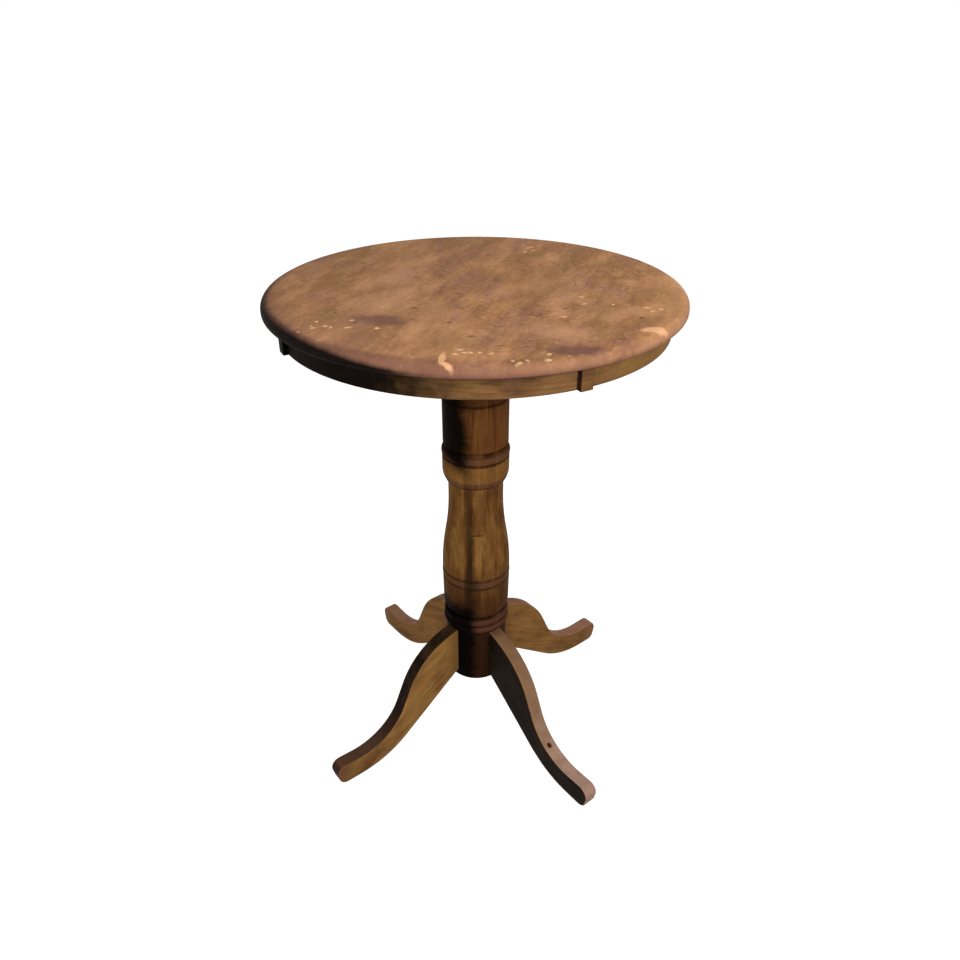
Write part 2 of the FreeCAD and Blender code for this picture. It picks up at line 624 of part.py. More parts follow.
def draw_leg(sketch):
    """Leg outline of lines and arcs that run smoothly into each other."""
    spots = [Vector(number(x), number(y or TOE_TOP), 0) for x, y, bulge, smooth in LEG_OUTLINE]
    for here, (x, y, bulge, smooth) in enumerate(LEG_OUTLINE):
        start, end = spots[here - 1], spots[here]
        if bulge:
            chord = end - start
            via = (start + end) * 0.5 + Vector(-chord.y, chord.x, 0) * bulge
            sketch.addGeometry(arc(start, via, end))
        else:
            sketch.addGeometry(Part.LineSegment(start, end))
    count = len(LEG_OUTLINE)
    ends = [end_of(sketch, here, spots[here]) for here in range(count)]
    for here, (x, y, bulge, smooth) in enumerate(LEG_OUTLINE):
        pin(sketch, here, ends[here], x, y)
    for here, (x, y, bulge, smooth) in enumerate(LEG_OUTLINE):
        after = (here + 1) % count
        joint = "Tangent" if smooth else "Coincident"
        near = next(end for end in EDGE_ENDS if end != ends[after])
        sketch.addConstraint(Sketcher.Constraint(joint, here, ends[here], after, near))


def sawn_leg(name):
    """A leg lying in the XZ plane, its root scribed to the hub."""
    body = doc.addObject("PartDesign::Body", f"leg_blank_{name}")
    outline = sketch_on(body, "XZ_Plane", f"leg_outline_{name}")
    draw_leg(outline)
    pad = body.newObject("PartDesign::Pad", f"leg_pad_{name}")
    pad.Profile = outline
    pad.SideType = "Symmetric"
    pad.setExpression("Length", "sizes.leg_thickness")
    doc.recompute()

    def across_toe(edge):
        bounds = edge.BoundBox
        return bounds.YLength > SLACK and bounds.XMin > number("sizes.leg_reach") - SLACK

    toe = body.newObject("PartDesign::Fillet", f"leg_toe_{name}")
    toe.Base = (pad, edges_where(pad.Shape, across_toe))
    toe.setExpression("Radius", "sizes.toe_round")
    doc.recompute()

    def along_side(edge):
        bounds = edge.BoundBox
        return bounds.YLength < 0.01 and bounds.XMax > number(ROOT) + SLACK

    sides = body.newObject("PartDesign::Fillet", f"leg_sides_{name}")
    sides.Base = (toe, edges_where(toe.Shape, along_side))
    sides.setExpression("Radius", "sizes.leg_edge_round")
    doc.recompute()

    section = sketch_on(body, "XZ_Plane", f"leg_scribe_section_{name}")
    draw(section, rectangle("sizes.hub_radius / 4", "sizes.hub_radius", "1", f"{HUB_TOP} + sizes.hub_radius"))
    scribe = body.newObject("PartDesign::Groove", f"leg_scribe_{name}")
    scribe.Profile = section
    scribe.ReferenceAxis = (section, ["V_Axis"])
    scribe.Angle = 360
    doc.recompute()
    web_low = f"({ROOT_LOW} + {WEB})"
    web_length = f"sizes.hub_bottom + sizes.tongue_height - {web_low}"
    add_pad(body, f"leg_web_{name}", "XY_Plane", tongue_corners(f"(2 * {WEB})", f"(-{WEB})"),
            web_length, web_low)
    add_pad(body, f"leg_tongue_{name}", "XY_Plane", tongue_corners("sizes.tongue_depth", WEB),
            "sizes.tongue_height", "sizes.hub_bottom")
    return body


GLIDE_REACH = "(sizes.leg_reach - sizes.glide_inset)"
legs = []
glides = []
for angle, name in zip(leg_angles, ("rear_right", "rear_left", "front_left", "front_right")):
    pad_disc = solid("Cylinder", f"glide_disc_{name}", Radius="sizes.glide_radius", Height="sizes.glide_height")
    nail = solid("Cylinder", f"glide_nail_{name}", Radius="sizes.glide_pin_radius",
                 Height="sizes.glide_height + sizes.glide_pin_length")
    for part in (pad_disc, nail):
        place(part, *polar(GLIDE_REACH, angle))
    glide = doc.addObject("Part::Fuse", f"foot_glide_{name}")
    glide.Base = pad_disc
    glide.Tool = nail
    glides.append(glide)
    blank = sawn_leg(name)
    blank.setExpression("Placement.Rotation.Angle", angle)
    legs.append(cut(f"leg_{name}", blank, [glide]))

pieces = boards + [board_dowels] + battens + [batten_screws]
pieces += apron_segments + apron_blocks + [apron_dowels, apron_block_screws]
pieces += glue_blocks + [glue_block_screws, mounting_plate, mounting_plate_screws, riser_dowels]
pieces += [riser, turned_vase, leg_hub, tie_rod, rod_nuts, rod_washers]
pieces += legs + [leg_plate, leg_plate_screws] + glides

doc.recompute()
for item in doc.Objects:
    if "Invalid" in item.State or "Error" in item.State:
        raise RuntimeError(f"{item.Label} did not compute")
os.makedirs("parts", exist_ok=True)
for piece in pieces:
    if piece.Shape.isNull() or not piece.Shape.isValid() or not piece.Shape.Solids:
        raise RuntimeError(f"{piece.Label} is not a valid solid")
    piece.Shape.exportStep(f"parts/{piece.Label}.step")
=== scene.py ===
import json
import math

import bpy
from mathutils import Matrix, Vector

# Round pedestal table in worn stained wood. Metres, in the frame of the CAD model.

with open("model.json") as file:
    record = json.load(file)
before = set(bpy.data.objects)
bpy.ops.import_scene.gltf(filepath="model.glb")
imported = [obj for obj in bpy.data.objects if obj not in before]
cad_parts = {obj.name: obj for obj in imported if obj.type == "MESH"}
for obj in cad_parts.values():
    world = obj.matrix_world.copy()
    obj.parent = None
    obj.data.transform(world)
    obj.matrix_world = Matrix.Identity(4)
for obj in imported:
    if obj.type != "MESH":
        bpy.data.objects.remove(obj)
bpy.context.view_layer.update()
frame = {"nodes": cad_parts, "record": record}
nodes = frame["nodes"]

VIEW_TURN = math.radians(17.6)      # the photograph looks along this turn about +Z
TOP_RADIUS = 0.381
TOP_Z = 1.040
BOARD_COUNT = 8
APRON_RADIUS = 0.356
LEG_ANGLES = {"rear_right": 55.7, "rear_left": 145.7, "front_left": 235.7, "front_right": 325.7}


def srgb(red, green, blue):
    """Scene-linear colour from 0-255 display values."""
    def linear(value):
        value /= 255
        return value / 12.92 if value <= 0.04045 else ((value + 0.055) / 1.055) ** 2.4
    return (linear(red), linear(green), linear(blue), 1.0)


def from_view(right, away, up):
    """Point given by the photograph's right and depth directions."""
    cos, sin = math.cos(VIEW_TURN), math.sin(VIEW_TURN)
    return Vector((right * cos - away * sin, right * sin + away * cos, up))


class Graph:
    """A material's node tree, built by calls that return sockets."""

    def __init__(self, name, **constants):
        self.material = bpy.data.materials.new(name)
        self.material.use_nodes = True
        self.tree = self.material.node_tree
        self.tree.nodes.clear()
        self.shader = self.add("ShaderNodeBsdfPrincipled")
        output = self.add("ShaderNodeOutputMaterial")
        self.tree.links.new(self.shader.outputs[0], output.inputs["Surface"])
        for socket, value in constants.items():
            self.shader.inputs[socket.replace("_", " ")].default_value = value
        coords = self.add("ShaderNodeTexCoord")
        self.place = coords.outputs["Object"]
        self.normal = coords.outputs["Normal"]

    def add(self, kind, **props):
        node = self.tree.nodes.new(kind)
        for name, value in props.items():
            setattr(node, name, value)
        return node

    def feed(self, socket, value):
        if isinstance(value, bpy.types.NodeSocket):
            self.tree.links.new(value, socket)
        else:
            socket.default_value = value

    def math(self, operation, *values):
        node = self.add("ShaderNodeMath", operation=operation)
        for socket, value in zip(node.inputs, values):
            self.feed(socket, value)
        return node.outputs[0]

    def sum(self, first, *rest):
        for value in rest:
            first = self.math("ADD", first, value)
        return first

    def times(self, first, *rest):
        for value in rest:
            first = self.math("MULTIPLY", first, value)
        return first

    def swing(self, value, gain):
        """A noise value turned into a swing about zero."""
        return self.times(self.sum(value, -0.5), gain)

    def gap(self, value, level):
        """Distance of a value from a level."""
        return self.math("ABSOLUTE", self.sum(value, -level))

    def vector(self, operation, first, second=None, out=0):
        node = self.add("ShaderNodeVectorMath", operation=operation)
        self.feed(node.inputs[0], first)
        if second is not None:
            self.feed(node.inputs[1], second)
        return node.outputs[out]

    def dot(self, first, second):
        return self.vector("DOT_PRODUCT", first, second, "Value")

    def axes(self, vector):
        node = self.add("ShaderNodeSeparateXYZ")
        self.feed(node.inputs[0], vector)
        return node.outputs

    def join(self, x, y, z):
        node = self.add("ShaderNodeCombineXYZ")
        for socket, value in zip(node.inputs, (x, y, z)):
            self.feed(socket, value)
        return node.outputs[0]

    def noise(self, vector, scale, detail=3.0, roughness=0.55, distortion=0.0):
        node = self.add("ShaderNodeTexNoise")
        for socket, value in (("Vector", vector), ("Scale", scale), ("Detail", detail),
                              ("Roughness", roughness), ("Distortion", distortion)):
            self.feed(node.inputs[socket], value)
        return node.outputs["Fac"]

    def cells(self, vector, scale):
        node = self.add("ShaderNodeTexVoronoi")
        for socket, value in (("Vector", vector), ("Scale", scale), ("Randomness", 1.0)):
            self.feed(node.inputs[socket], value)
        return node.outputs["Distance"], node.outputs["Color"]

    def chance(self, value):
        node = self.add("ShaderNodeTexWhiteNoise", noise_dimensions="1D")
        self.feed(node.inputs["W"], value)
        return node.outputs["Value"]

    def rise(self, value, low, high):
        """0 below low and 1 above high, smooth between; low above high falls instead."""
        node = self.add("ShaderNodeMapRange", interpolation_type="SMOOTHSTEP")
        ends = (1.0, 0.0) if low > high else (0.0, 1.0)
        for socket, number in zip(node.inputs, (value, min(low, high), max(low, high), *ends)):
            self.feed(socket, number)
        return node.outputs[0]

    def mix(self, amount, first, second):
        node = self.add("ShaderNodeMix", data_type="RGBA")
        for index, value in ((0, amount), (6, first), (7, second)):      # 6 and 7 are the colours A and B
            self.feed(node.inputs[index], value)
        return node.outputs[2]

    def tint(self, color, mask, amount, tone):
        """Colour turned towards a tone by an amount where the mask is 1."""
        return self.mix(self.times(mask, amount), color, tone)

    def ramp(self, value, stops, interpolation="LINEAR"):
        node = self.add("ShaderNodeValToRGB")
        ramp = node.color_ramp
        ramp.interpolation = interpolation
        while len(ramp.elements) < len(stops):
            ramp.elements.new(0.5)
        for element, (position, color) in zip(ramp.elements, stops):
            element.position = position
            element.color = color
        self.feed(node.inputs[0], value)
        return node.outputs[0]

    def surface(self, color, roughness, height, distance):
        """Connects colour, roughness and relief to the shader."""
        bump = self.add("ShaderNodeBump")
        bump.inputs["Strength"].default_value = 0.6
        bump.inputs["Distance"].default_value = distance
        self.feed(bump.inputs["Height"], height)
        self.feed(self.shader.inputs["Normal"], bump.outputs[0])
        self.feed(self.shader.inputs["Base Color"], color)
        self.feed(self.shader.inputs["Roughness"], roughness)
        return self.material


def stained_wood(graph, along, across, depth, tones, rings_per_metre=26.0, seed=0.0, contrast=1.0, calm=0.0):
    """Colour, relief and streaks of stained hardwood whose grain runs along one direction."""
    grain = graph.join(across, graph.times(along, 0.11), depth)
    shift = graph.join(seed, graph.times(seed, 0.7), graph.times(seed, 1.3))
    grain = graph.vector("ADD", grain, shift)
    broad = graph.noise(grain, 9.0, 2.0, 0.5)
    figure = graph.math("FRACT", graph.times(graph.sum(broad, graph.times(across, 0.9)), rings_per_metre))
    rings = graph.times(graph.rise(figure, 0.05, 0.75), graph.rise(figure, 1.0, 0.82))
    fibre = graph.noise(grain, 420.0, 2.0, 0.6)
    streak = graph.noise(grain, 85.0, 3.0, 0.6)
    pores = graph.rise(graph.noise(graph.vector("MULTIPLY", grain, (1.0, 0.3, 1.0)), 800.0, 1.0), 0.60, 0.72)
    patch = graph.noise(graph.vector("MULTIPLY", grain, (1.0, 4.5, 1.0)), 20.0, 4.0, 0.62)
    light, middle, dark, cool = tones
    color = graph.ramp(graph.sum(graph.times(streak, 0.45), graph.times(patch, 0.65), -0.05),
                       [(0.34, dark), (0.49, middle), (0.64, light)])
    color = graph.mix(calm, color, middle)
    color = graph.tint(color, graph.rise(patch, 0.52, 0.66), 0.5, cool)
    color = graph.tint(color, rings, 0.28 * contrast, dark)
    color = graph.tint(color, graph.rise(fibre, 0.45, 0.70), 0.26 * contrast, dark)
    color = graph.tint(color, pores, 0.40 * contrast, dark)
    relief = graph.sum(graph.times(fibre, 0.5), graph.times(streak, 0.4), graph.times(pores, -0.6),
                       graph.times(rings, -0.2))
    return color, relief, streak


def any_of(graph, masks):
    joined = masks[0]
    for mask in masks[1:]:
        joined = graph.math("MAXIMUM", joined, mask)
    return joined


def mark(graph, centre, half_sizes, turn, ragged, soft):
    """Mask of one worn or stained mark on the top: an uneven ellipse, in millimetres and degrees."""
    node = graph.add("ShaderNodeMapping", vector_type="TEXTURE")
    graph.feed(node.inputs["Vector"], graph.place)
    node.inputs["Location"].default_value = (centre[0] / 1000, centre[1] / 1000, TOP_Z)
    node.inputs["Rotation"].default_value = (0, 0, math.radians(turn))
    node.inputs["Scale"].default_value = (half_sizes[0] / 1000, half_sizes[1] / 1000, 0.05)
    distance = graph.vector("LENGTH", node.outputs[0], out="Value")
    return graph.rise(graph.sum(distance, ragged), *soft)


def marks(graph, listed, ragged, soft=(1.25, 0.65)):
    """Mask of a list of marks; soft is where each starts and where it is full, as shares of its half size."""
    return any_of(graph, [mark(graph, centre, half_sizes, turn, ragged, soft)
                          for centre, half_sizes, turn in listed])


def spread(count, step):
    """Evenly scattered share between 0 and 1 for the mark with this number."""
    return count * step % 1


# marks on the top: centre in millimetres, half length and width, turn of the long side
PALE_AREAS = [((-115, -155), (62, 125), 0), ((-165, -5), (45, 80), 0), ((200, -190), (85, 45), 0)]
BROWN_AREAS = [((118, 70), (55, 165), 0), ((55, -275), (85, 38), 0), ((220, -55), (55, 50), 0)]
DARK_STREAKS = [((-92, -222), (56, 27), 9), ((238, -262), (52, 22), 18)]
WORN_PATCHES = [((338, -139), (21, 12), 24), ((61, -350), (5, 20), 14), ((72, -366), (13, 4.5), -20)]
FLECK_CENTRES = [
    (-182, -282), (-161, -276), (-184, -261), (-141, -336), (-133, -238), (-189, -312), (-124, -272),
    (-79, -261), (73, -310), (73, -328), (93, -316), (122, -311), (160, -328), (179, -321), (207, -309),
    (204, -289), (24, 290), (26, 258), (9, 312), (313, -33), (336, -34), (209, -44), (196, -8), (256, -33),
    (190, -120), (-175, -290), (-150, -279), (84, -318), (106, -312), (170, -332), (40, 275), (30, 300),
    (325, -48),
]
WEAR_AND_GLINT_FLECKS = [(centre, (2 + 4.5 * spread(count, 0.618), 2.2 + 2.4 * spread(count, 0.382)),
                15 + 40 * spread(count, 0.27)) for count, centre in enumerate(FLECK_CENTRES)]
KNOT_CENTRES = [
    (-308, -43), (-13, -55), (-174, -213), (72, -252), (-257, 79), (310, -87), (295, -195), (166, -268),
    (127, -277), (184, -77), (-40, 212), (-120, 20), (60, 120), (220, 60), (-60, -150), (20, -200),
]
KNOTS = [(centre, (3 + 4 * spread(count, 0.618), 3.5), 20) for count, centre in enumerate(KNOT_CENTRES)]
SHADED_SIDE_TURN = VIEW_TURN + math.radians(205)     # the side of the table painted nearly black as shade
RIM_SHADED_SIDE_TURN = SHADED_SIDE_TURN - math.radians(8)     # the same on the rim of the top
PAINTED_SHADE_BLACK = srgb(3, 2, 2)
PAINTED_SHADE_COVER = 0.98


def axis_distance(graph, x, y):
    return graph.math("SQRT", graph.sum(graph.times(x, x), graph.times(y, y)))


def painted_shade_side(graph, x, y, radius, low, high, ragged, turn=SHADED_SIDE_TURN):
    """How far a point lies on the side of the table painted nearly black as shade."""
    toward = graph.sum(graph.times(x, math.cos(turn)), graph.times(y, math.sin(turn)))
    return graph.rise(graph.sum(graph.math("DIVIDE", toward, radius), ragged), low, high)


def top_material():
    graph = Graph("top_wood_worn", Specular_IOR_Level=0.025)
    x, y, z = graph.axes(graph.place)

    # boards, each with its own cut and stain
    position = graph.times(graph.sum(x, TOP_RADIUS), BOARD_COUNT / (2 * TOP_RADIUS))
    board = graph.math("FLOOR", position)
    inside = graph.math("FRACT", position)
    luck = graph.chance(graph.sum(board, 0.37))
    other = graph.chance(graph.sum(board, 17.9))
    tones = (srgb(178, 130, 88), srgb(155, 109, 74), srgb(112, 75, 49), srgb(133, 99, 60))
    color, relief, streak = stained_wood(graph, y, x, z, tones, 16.0, graph.times(luck, 4.0), 0.55, 0.20)
    color = graph.tint(color, graph.rise(luck, 0.4, 1.0), 0.35, srgb(136, 94, 72))
    color = graph.tint(color, graph.rise(other, 0.4, 1.0), 0.30, srgb(165, 116, 69))

    # clouds of stain, short dashes, contours of the grain and the seams between boards
    wobble = graph.noise(graph.place, 60.0, 3.0, 0.6)
    ragged = graph.swing(wobble, 1.8)
    crumb = graph.swing(graph.noise(graph.place, 210.0, 3.0, 0.7), 3.0)
    drawn = graph.vector("MULTIPLY", graph.place, (1.0, 0.45, 1.0))
    cloud = graph.noise(drawn, 13.0, 4.0, 0.58)
    haze = graph.noise(graph.vector("ADD", drawn, (3.0, 1.0, 0.0)), 17.0, 4.0, 0.60)
    dash = graph.noise(graph.place, 130.0, 3.0, 0.55)
    color = graph.tint(color, graph.rise(cloud, 0.46, 0.66), 0.66, srgb(122, 89, 54))
    color = graph.tint(color, graph.rise(cloud, 0.50, 0.33), 0.56, srgb(180, 132, 93))
    color = graph.tint(color, graph.rise(haze, 0.49, 0.68), 0.55, srgb(134, 93, 78))
    color = graph.tint(color, graph.rise(haze, 0.49, 0.32), 0.56, srgb(184, 135, 95))
    color = graph.tint(color, graph.rise(dash, 0.57, 0.68), 0.42, srgb(96, 62, 40))
    color = graph.tint(color, graph.rise(dash, 0.42, 0.31), 0.38, srgb(198, 148, 102))
    contour = graph.math("FRACT", graph.times(graph.noise(drawn, 7.0, 2.0, 0.5), 14.0))
    lines = graph.times(graph.rise(graph.gap(contour, 0.5), 0.070, 0.020), graph.rise(haze, 0.46, 0.58))
    color = graph.tint(color, lines, 0.38, srgb(92, 60, 40))
    seam = graph.rise(graph.gap(inside, 0.5), 0.492, 0.499)
    color = graph.tint(color, graph.times(seam, graph.rise(haze, 0.40, 0.60)), 0.40, srgb(84, 54, 38))

    # broad faded areas, dark streaks and knots
    faint = graph.times(ragged, 0.5)
    color = graph.tint(color, marks(graph, PALE_AREAS, faint, (1.3, 0.0)), 0.42, srgb(200, 149, 112))
    color = graph.tint(color, marks(graph, BROWN_AREAS, faint, (1.3, 0.0)), 0.42, srgb(112, 79, 50))
    color = graph.tint(color, marks(graph, DARK_STREAKS, ragged, (1.3, 0.4)), 0.80, srgb(100, 66, 60))
    color = graph.tint(color, marks(graph, KNOTS, crumb), 0.65, srgb(78, 48, 32))

    # painted light: the top lighter towards the right and the front left; then pale specks and flecks, worn
    # spots with painted glints
    def toward(direction, unevenness, low, high):
        reach = graph.dot(graph.place, direction)
        return graph.rise(graph.sum(reach, graph.times(ragged, unevenness)), low, high)

    color = graph.tint(color, toward(from_view(1, -0.15, 0), 0.03, 0.29, 0.39), 0.32, srgb(206, 156, 112))
    color = graph.tint(color, toward(from_view(-0.5, -0.87, 0), 0.03, 0.15, 0.34), 0.10, srgb(200, 148, 112))
    # pale specks and flecks: worn spots that also carry painted glints
    distance, kind = graph.cells(graph.place, 90.0)
    few = graph.rise(graph.axes(kind)[0], 0.82, 0.86)
    wear_and_glint_specks = graph.times(graph.rise(graph.sum(distance, graph.times(crumb, 0.12)), 0.26, 0.10), few,
                         graph.rise(haze, 0.49, 0.40))
    wear_and_glint_flecks = marks(graph, WEAR_AND_GLINT_FLECKS, crumb)
    color = graph.tint(color, wear_and_glint_specks, 0.65, srgb(216, 170, 120))
    color = graph.tint(color, wear_and_glint_flecks, 0.85, srgb(226, 180, 130))

    # rim: purplish stain deepened towards the left as painted shade, chips, painted shade on the underside and
    # the side painted nearly black as shade
    facing = graph.axes(graph.normal)[2]
    radius = axis_distance(graph, x, y)
    outer = graph.sum(radius, graph.times(ragged, 0.006))
    rim = graph.rise(graph.sum(facing, graph.times(ragged, 0.10)), 0.94, 0.62)
    color = graph.tint(color, rim, 0.50, srgb(160, 114, 88))
    leftward = painted_shade_side(graph, x, y, radius, -0.10, 0.75, graph.times(ragged, 0.25))
    purple = graph.math("MAXIMUM", graph.times(rim, graph.rise(haze, 0.46, 0.60), 0.6),
                        graph.times(leftward, graph.rise(outer, 0.352, 0.374)))
    color = graph.tint(color, purple, 0.62, srgb(92, 60, 56))
    color = graph.tint(color, marks(graph, WORN_PATCHES, graph.times(ragged, 0.65)), 0.74, srgb(226, 172, 128))
    # painted shade on the turned-under rim, and a darker painted shadow line along its lowest edge
    turned_in = graph.rise(graph.sum(z, graph.times(ragged, 0.002)), TOP_Z - 0.010, TOP_Z - 0.020)
    color = graph.tint(color, turned_in, 0.55, srgb(108, 73, 64))
    color = graph.tint(color, graph.rise(z, TOP_Z - 0.0185, TOP_Z - 0.0215), 0.70, srgb(52, 32, 24))
    # painted shade: the top darker towards the back left
    color = graph.tint(color, toward(from_view(-0.7, 0.7, 0), 0.05, -0.15, 0.40), 0.30, srgb(110, 80, 52))
    # painted shade: the left side of the rim nearly black
    rim_shaded_side = painted_shade_side(graph, x, y, radius, 0.35, 1.00, graph.times(ragged, 0.05), RIM_SHADED_SIDE_TURN)
    drop = graph.times(graph.sum(TOP_Z, graph.times(z, -1.0)), 50.0)
    black = graph.rise(graph.sum(rim_shaded_side, graph.math("MINIMUM", drop, 0.8)), 0.72, 1.22)
    color = graph.tint(color, graph.times(black, graph.rise(outer, 0.362, 0.372)), PAINTED_SHADE_COVER, PAINTED_SHADE_BLACK)

    roughness = graph.sum(0.46, graph.times(cloud, 0.22), graph.times(streak, 0.08))
    relief = graph.sum(relief, graph.times(seam, -1.2), graph.times(wear_and_glint_flecks, -1.5), graph.times(wobble, 0.8),
                       graph.times(dash, 0.8))
    return graph.surface(color, roughness, relief, 0.0006)


def apron_material():
    graph = Graph("apron_wood_worn", Specular_IOR_Level=0.015)
    x, y, z = graph.axes(graph.place)
    arc = graph.times(graph.math("ARCTAN2", y, x), APRON_RADIUS)
    ragged = graph.swing(graph.noise(graph.place, 50.0, 3.0, 0.6), 0.25)
    radius = axis_distance(graph, x, y)
    tones = (srgb(146, 106, 62), srgb(118, 84, 52), srgb(66, 42, 26), srgb(112, 88, 46))
    color, relief, _ = stained_wood(graph, arc, z, radius, tones, 22.0, 3.1, 0.8, 0.25)
    cloud = graph.noise(graph.place, 14.0, 4.0, 0.6)
    color = graph.tint(color, graph.rise(cloud, 0.50, 0.64), 0.45, srgb(104, 72, 58))
    # painted shadow under the top: near black along the apron's upper edge
    color = graph.tint(color, graph.rise(z, 1.008, 1.018), 0.8, srgb(24, 13, 9))
    # painted light: the apron lighter towards the right
    painted_light_right = graph.rise(graph.dot(graph.place, from_view(1, 0, 0)), 0.10, 0.26)
    color = graph.tint(color, painted_light_right, 0.35, srgb(132, 98, 46))
    # blocks between the segments: distance along the arc from the middle of the nearest block
    half_segment = APRON_RADIUS * math.pi / 4
    along = graph.math("PINGPONG", graph.sum(arc, APRON_RADIUS * math.pi), half_segment)
    corner = graph.sum(half_segment, graph.times(along, -1.0))
    color = graph.tint(color, graph.rise(corner, 0.0125, 0.0105), 0.35, srgb(78, 46, 26))
    seam = graph.rise(graph.gap(corner, 0.0118), 0.0022, 0.0008)
    color = graph.tint(color, seam, 0.85, srgb(22, 12, 9))
    # painted shade: the left side of the apron nearly black
    color = graph.tint(color, painted_shade_side(graph, x, y, radius, 0.32, 0.78, ragged), PAINTED_SHADE_COVER, PAINTED_SHADE_BLACK)
    roughness = graph.sum(0.48, graph.times(cloud, 0.2))
    return graph.surface(color, roughness, relief, 0.0005)


# staves of the turned column, by distance in millimetres to the photograph's right of the axis
STAVES = [(-80, 0.45), (-60, 0.70), (-25, 0.28), (-7, 0.45), (10, 0.52), (22, 0.56), (44, 0.66), (60, 0.45)]
COLUMN_SPAN = 0.16
STAVE_BLUR = 0.014      # share of the span, each way, over which two staves run together
# grooves of the column: height and half width in millimetres
GROOVES = [(278, 2.4), (295, 2.4), (314, 3), (401, 2.8), (421, 2.8), (645.5, 2.6), (700, 3), (723, 5.5),
           (827, 2.5)]
# turned bands that took the stain reddish: low and high edge in millimetres
RED_BANDS = [(277, 314), (403, 419), (646, 660), (703, 718)]


